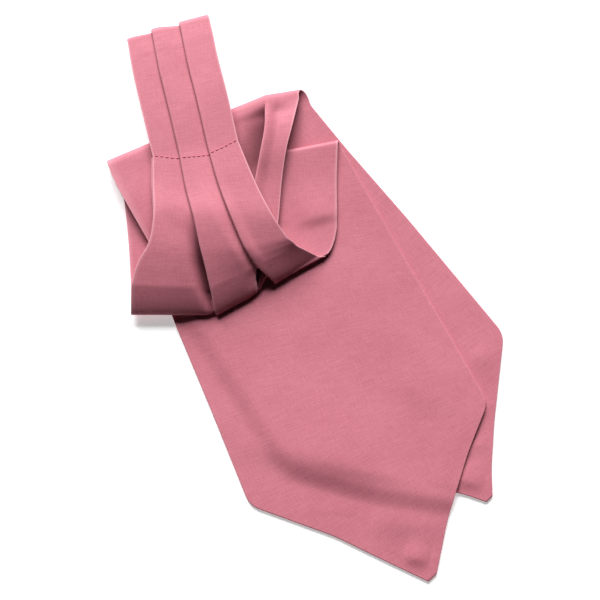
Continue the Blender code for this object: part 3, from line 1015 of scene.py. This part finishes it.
# Towards the return the painted highlight on the rims grows over so many rows.
FRONT_RIM_FADE = 12
FRONT_BLADE = (
    ((-106.0, 72.0), (23.6, 94.6)),
    ((-88.0, 26.0), (47.0, 51.0)),
    ((-72.2, -15.3), (65.6, 16.3)),
    ((-50.0, -68.0), (86.5, -22.0)),
    ((-28.4, -121.2), (107.9, -61.8)),
    ((19.8, -138.6), (96.1, -90.6)),
    ((45.0, -151.0), (83.4, -129.5)),
    ((72.0, -163.9), (76.9, -159.6)),
)
FRONT_FOLD = Fold(
    upper=((-106.2, 72.0, 4.9), (-12.6, 88.1, 4.9), (22.2, 94.6, 5.2)),
    outer=((-106.6, 73.5), (-12.5, 89.8), (22.6, 96.6)),
    lower=((-106.0, 72.0, FRONT_BLADE_Z), (-12.6, 88.1, FRONT_BLADE_Z), (23.6, 94.6, FRONT_BLADE_Z)),
)
FRONT_RETURN = (
    ((-103.4, 58.2, 4.3), (-12.8, 70.0, 4.3), (21.5, 74.0, 4.4)),
    ((-100.5, 34.0, FRONT_RETURN_Z), (-13.5, 46.0, FRONT_RETURN_Z), (21.5, 57.0, 4.2)),
)
FAN = (
    Section(
        ((-86.1, 65.0, 15.4), (-65.8, 62.5, 17.6), (-47.2, 66.5, 18.0), (-26.4, 67.0, 17.8)),
        ((8.5, 2.2, 13.0, 0.0), (8.5, 2.2, 13.0, 0.0)),
    ),
    Section(
        ((-85.2, 47.7, 17.4), (-61.1, 45.0, 20.0), (-40.4, 47.5, 20.2), (-17.2, 48.0, 18.9)),
        ((8.0, 3.0, 10.0, 0.0), (8.0, 2.6, 11.0, 0.0)),
    ),
    Section(
        ((-87.4, 31.0, 16.8), (-57.2, 27.5, 18.6), (-33.0, 30.0, 18.7), (-8.5, 34.5, 16.8)),
        ((6.0, 5.0, 10.0, 0.0), (6.0, 2.6, 9.0, 0.0)),
    ),
    Section(
        ((-94.0, 18.0, 15.0), (-54.0, 15.3, 16.2), (-28.8, 22.8, 16.6), (-4.5, 31.1, 15.3)),
        ((3.5, 7.2, 11.0, 0.0), (3.0, 2.6, 8.0, 0.0)),
    ),
    Section(FAN_UPPER, FOLD_PLEATS[0][1:]),
)
BAND = (
    ((-103.7, 158.7, 6.3), (-54.6, 172.4, 6.4)),
    ((-101.8, 148.5, 7.5), (-52.4, 162.2, 7.7)),
    ((-98.5, 132.3, 9.7), (-49.2, 146.3, 10.0)),
    ((-92.7, 108.8, 12.2), (-43.0, 121.4, 12.5)),
    ((-86.5, 83.7, 13.0), (-36.8, 93.1, 13.2)),
)
# How far the two sides of the doubled neckband stand apart at each of those lines, from its middle plane.
BAND_OPEN = (1.5, 1.7, 1.0, 0.2, 0.0)
BAND_PLEATS = (0.32, 0.66)
BAND_PLEAT = Pleat(9.5, PRESSED, 15.0)
BAND_MIDDLE = 0.65
FRONT_CREASES = (
    Crease((62.0, -18.0), (82.0, -50.0), 8.0, 0.4),
    Crease((50.0, -46.0), (92.0, -66.0), 9.0, 0.5, 2.0),
    Crease((-34.0, -84.0), (70.0, -108.0), 8.5, 1.9, 4.0),
    Crease((40.0, -128.0), (84.0, -132.0), 11.0, 1.4, 2.5),
    Crease((58.0, -149.0), (73.0, -152.5), 4.5, 1.2, 2.0),
)
RETURN_CREASES = (
    Crease((-2.0, 47.0), (24.0, 53.0), 4.5, 1.4, 3.0),
)
FAN_CREASES = (
    Crease((-80.0, 50.0), (-68.0, 30.0), 5.0, -0.5),
)
print("the neckband has", len(BAND_PLEATS), "pleats, and the front blade", len(FRONT_CREASES), "creases")

# %% [markdown]
# ### Two helpers of the front half
#
# The front blade drops to the table where it runs past the blade underneath, so one helper measures how
# far past the edge a point is. The other gives a section across the doubled neckband, also part of the
# way round its fold.


# %% Helpers for the drop and for the neckband
def past_edge(outline, point):
    """How far a point lies outside a closed outline, negative inside it."""
    nearest = math.inf
    inside = False
    for k, start in enumerate(outline):
        end = outline[k - 1]
        run = end - start
        share = min(max(((point - start) @ run) / (run @ run), 0.0), 1.0)
        nearest = min(nearest, float(np.linalg.norm(point - start - run * share)))
        if (start[1] > point[1]) != (end[1] > point[1]):
            crossing = start[0] + (point[1] - start[1]) / (end[1] - start[1]) * run[0]
            inside ^= bool(point[0] < crossing)
    return -nearest if inside else nearest


def band_section(place, degrees):
    """The neckband's pleats on one side of its middle plane, or part of the way round its fold."""
    lines = [np.array(row) for row in BAND]
    left, right = through(lines, place)
    tip_left, tip_right = lines[0]
    run = tip_right - tip_left
    out = np.array((-run[1], run[0], 0.0))
    out /= np.linalg.norm(out)
    angle = math.radians(degrees)
    up = UP * math.cos(angle) + out * math.sin(angle)
    lone = BAND_MIDDLE + float(np.interp(place, range(len(BAND_OPEN)), BAND_OPEN))
    stacked = lone + PRESSED
    shares = (0.0, *BAND_PLEATS, 1.0)
    heights = (lone, stacked, stacked, stacked)
    edges = [blend(left, right, share) + up * height for share, height in zip(shares, heights)]
    return edges, [up] * len(edges)


print("the neckband's middle plane lies", BAND[2][0][2], "mm up at its middle")

# %% [markdown]
# ### One net from tip to centre back
#
# The rows are laid in the order of the cloth: up the blade, over its fold, down the return, round the
# fan's fold, up the fan, along the neckband, round the centre back, and back underneath. Before the
# pleats the columns wait in the places that they have in the first pleated row.

# %% Weave the front half's net
lower_path = pleated(*fan_fold(COLUMN_TURN))
even_front = np.linspace(0.0, 1.0, len(lower_path))
fold_shares = shares_of(lower_path[:, :3])

edge_places = [step / 4 for step in range(4 * (len(BACK_BLADE) - 1) + 1)]
under_left = [softened([row[0] for row in BACK_BLADE], place) for place in edge_places]
under_right = [softened([row[1] for row in BACK_BLADE], place) for place in edge_places]
under_outline = under_left + under_right[::-1]
front_net = []
for row in blade_rows(FRONT_BLADE, FRONT_BLADE_ROWS, even_front, even_front, 1)[::-1]:
    fall = [smooth((past_edge(under_outline, point) - DROP_START) / DROP_RUN) for point in row]
    front_net.append([(*point, FRONT_BLADE_Z - BLADE_STEP * share) for point, share in zip(row, fall)])
front_net = creased(front_net, FRONT_CREASES)
for degrees in range(180, -1, -FRONT_FOLD_TURN):
    front_net.append(across_cloth(turned(FRONT_FOLD, degrees)[0], even_front))
return_start = len(front_net)
for step in range(1, RETURN_ROWS + 1):
    shares = blend(even_front, fold_shares, smooth(GATHER_PACE * step / RETURN_ROWS))
    lines = [across_cloth(section, shares) for section in (FRONT_FOLD.upper, *FRONT_RETURN)]
    lines.append(at_shares(FAN_LOWER, shares))
    row = through(lines, (len(lines) - 1) * step / RETURN_ROWS)
    front_net += creased([row], RETURN_CREASES)
pleat_start = len(front_net)
for turn in np.linspace(FAN_FOLD_START, 0.0, FAN_FOLD_ROWS + 1)[:-1]:
    edges, outward, pleats = fan_fold(turn)
    open_share = smooth((2.0 - turn) / OPENING_TURN)
    plain = np.column_stack((at_shares(edges, fold_shares), np.zeros((len(fold_shares), 2))))
    front_net.append(blend(plain, pleated(edges, outward, pleats), open_share))
band_pleats = (BAND_PLEAT, BAND_PLEAT)
top_edges, _ = band_section(len(BAND) - 1, 0)
fan_rows = lofted((Section(top_edges, band_pleats), *FAN), FAN_ROWS)
front_net += creased(fan_rows[::-1], FAN_CREASES)
band_places = [(len(BAND) - 1) * step / BAND_ROWS for step in range(BAND_ROWS - 1, -1, -1)]
band_turns = [(place, 0) for place in band_places]
band_turns += [(0.0, degrees) for degrees in range(BAND_TURN, 180, BAND_TURN)]
band_turns += [(place, 180) for place in reversed(band_places)]
front_net += [pleated(*band_section(place, degrees), band_pleats) for place, degrees in band_turns]

rows_along = np.arange(len(front_net))
front_walls = np.interp(rows_along, (return_start, pleat_start), (BLADE_WALL, PLEAT_WALL))
front_rim_highlight = np.interp(rows_along, (return_start - FRONT_RIM_FADE, return_start), (BLADE_RIM_HIGHLIGHT, 1.0))
front_half_cloth = two_ply_cloth("front_half_cloth", front_net, front_walls, satin, front_rim_highlight)

# %% [markdown]
# ## The stitches
#
# A row of hand stitches holds the pleats where the neckband meets the fan. Each stitch is a short thread
# that dips into the satin at both ends. The row was read off the photograph, one line to each panel, and
# every stitch is dropped onto the cloth from above.

# %% Sew the stitch row
THREAD = 0.60
STITCH_LENGTH = 2.35
STITCH_PITCH = 2.75
STITCH_SINK = 0.14
STITCH_RISE = 0.20
STITCH_TIP = 0.55
STITCH_RINGS = 9
THREAD_SIDES = 8
SEAM_STEPS = 200
DROP_HEIGHT = 60.0
STITCH_LINES = (
    ((-85.8, 84.3), (-77.0, 83.0), (-70.8, 82.4)),
    ((-69.2, 82.4), (-62.2, 83.0), (-52.8, 84.7)),
    ((-52.4, 85.3), (-46.6, 88.0), (-37.4, 93.2)),
)

thread_finish = Finish("stitch_thread")
thread_place = thread_finish.node("ShaderNodeTexCoord", output=OBJECT_PLACE)
twist = thread_finish.node(
    "ShaderNodeTexWave",
    {"bands_direction": "DIAGONAL"},
    output=WAVE_FACTOR,
    Vector=thread_place,
    Scale=900.0,
    Distortion=1.0,
)
thread_material = thread_finish.surface(
    Base_Color=thread_finish.mixed(twist, (0.560, 0.090, 0.130, 1.0), (0.640, 0.135, 0.180, 1.0)),
    Roughness=0.55,
)


def cloth_height(tree, point):
    """The height in millimetres of the top of the cloth at a point of the table."""
    spot = (np.array((*point, DROP_HEIGHT)) - CENTRE) * MM
    found = tree.ray_cast(Vector(spot), Vector((0.0, 0.0, -1.0)))
    return found[0][2] / MM


def stitch_points(tree, start, end):
    """A ring of points for each step along one stitch, which rises out of the cloth and dips back in."""
    run = np.subtract(end, start)
    side = np.array((-run[1], run[0], 0.0)) / np.linalg.norm(run)
    angles = np.linspace(0, 2 * math.pi, THREAD_SIDES, endpoint=False)
    rings = []
    for share in np.linspace(0.0, 1.0, STITCH_RINGS):
        x, y = blend(start, end, share)
        z = cloth_height(tree, (x, y)) - STITCH_SINK + STITCH_RISE * math.sin(math.pi * share) ** 0.5
        radius = THREAD / 2 * (STITCH_TIP + (1.0 - STITCH_TIP) * math.sin(math.pi * share))
        centre = np.array((x, y, z))
        rings.append([centre + radius * (side * math.cos(a) + UP * math.sin(a)) for a in angles])
    return rings


def stitches_on(line):
    """The two ends of each stitch on one line, evenly apart, with a stitch at each end of the line."""
    path = at_shares(line, np.linspace(0.0, 1.0, SEAM_STEPS + 1))
    length = np.linalg.norm(np.diff(path, axis=0), axis=1).sum()
    count = int((length - STITCH_LENGTH) / STITCH_PITCH) + 1
    gap = (length - STITCH_LENGTH) / max(count - 1, 1)
    stitches = []
    for k in range(count):
        first = path[int(SEAM_STEPS * k * gap / length)]
        last = path[int(SEAM_STEPS * (k * gap + STITCH_LENGTH) / length)]
        stitches.append((first, last))
    return stitches


def thread_faces(base, ring_count):
    """The faces round one stitch, whose rings of points start at a number, and its two ends."""
    faces = []
    for r in range(ring_count - 1):
        ring = base + THREAD_SIDES * r
        for c in range(THREAD_SIDES):
            d = (c + 1) % THREAD_SIDES
            faces.append((ring + c, ring + d, ring + THREAD_SIDES + d, ring + THREAD_SIDES + c))
    end = base + THREAD_SIDES * ring_count
    faces.append(tuple(range(base, base + THREAD_SIDES)))
    faces.append(tuple(range(end - THREAD_SIDES, end)))
    return faces


def sew(tree):
    """All the stitches, as one piece."""
    points, faces = [], []
    for line in STITCH_LINES:
        for first, last in stitches_on(line):
            rings = stitch_points(tree, first, last)
            faces += thread_faces(len(points), len(rings))
            for ring in rings:
                points += [tuple((point - CENTRE) * MM) for point in ring]
    mesh = bpy.data.meshes.new("stitch_row")
    mesh.from_pydata(points, [], faces)
    mesh.update()
    mesh.shade_smooth()
    mesh.materials.append(thread_material)
    row = bpy.data.objects.new("stitch_row", mesh)
    scene.collection.objects.link(row)
    face_outwards(row)
    print("stitch_row:", len(faces), "faces")
    return row


stitch_row = sew(BVHTree.FromObject(front_half_cloth, bpy.context.evaluated_depsgraph_get()))

# %% [markdown]
# ## The table
#
# A plain pale table, a hair below the cloth. It glows a little of its own, like a light table, because
# the ground of the photograph is a clean white with only weak shadows. It is the stage and not part of
# the tie.

# %% Lay the table
TABLE_SIZE = 6.0
TABLE_TOP = -0.00006
TABLE_GLOW = 0.42

for thing in bpy.context.view_layer.objects:
    thing.select_set(False)
bpy.ops.mesh.primitive_plane_add(size=TABLE_SIZE, location=(0.0, 0.0, TABLE_TOP))
table = bpy.context.active_object
table.name = "table"
table_finish = Finish("pale_table")
table_place = table_finish.node("ShaderNodeTexCoord", output=OBJECT_PLACE)
mottle = table_finish.node("ShaderNodeTexNoise", Vector=table_place, Scale=3.0)
table_paint = table_finish.surface(
    Base_Color=table_finish.mixed(mottle, (0.90, 0.90, 0.90, 1.0), (0.92, 0.92, 0.92, 1.0)),
    Roughness=0.8,
    Specular_IOR_Level=0.2,
    Emission_Color=(1.0, 1.0, 1.0, 1.0),
    Emission_Strength=TABLE_GLOW,
)
table.data.materials.append(table_paint)
print("table laid")

# %% [markdown]
# ## Tell the frame what each piece is
#
# Every piece rides on the tie's one body and stands for its solids. The whole tie is cut 1.11 m long and
# 152 mm wide, and pleating takes the middle in.

for piece, nodes in (
    (front_half_cloth, ("front_blade", "front_return", "front_fan", "neckband")),
    (back_half_cloth, ("back_blade", "back_return")),
    (hidden_cloth, ("hidden_layers",)),
):
    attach(piece, "root")
    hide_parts(*nodes)
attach(stitch_row, "root")
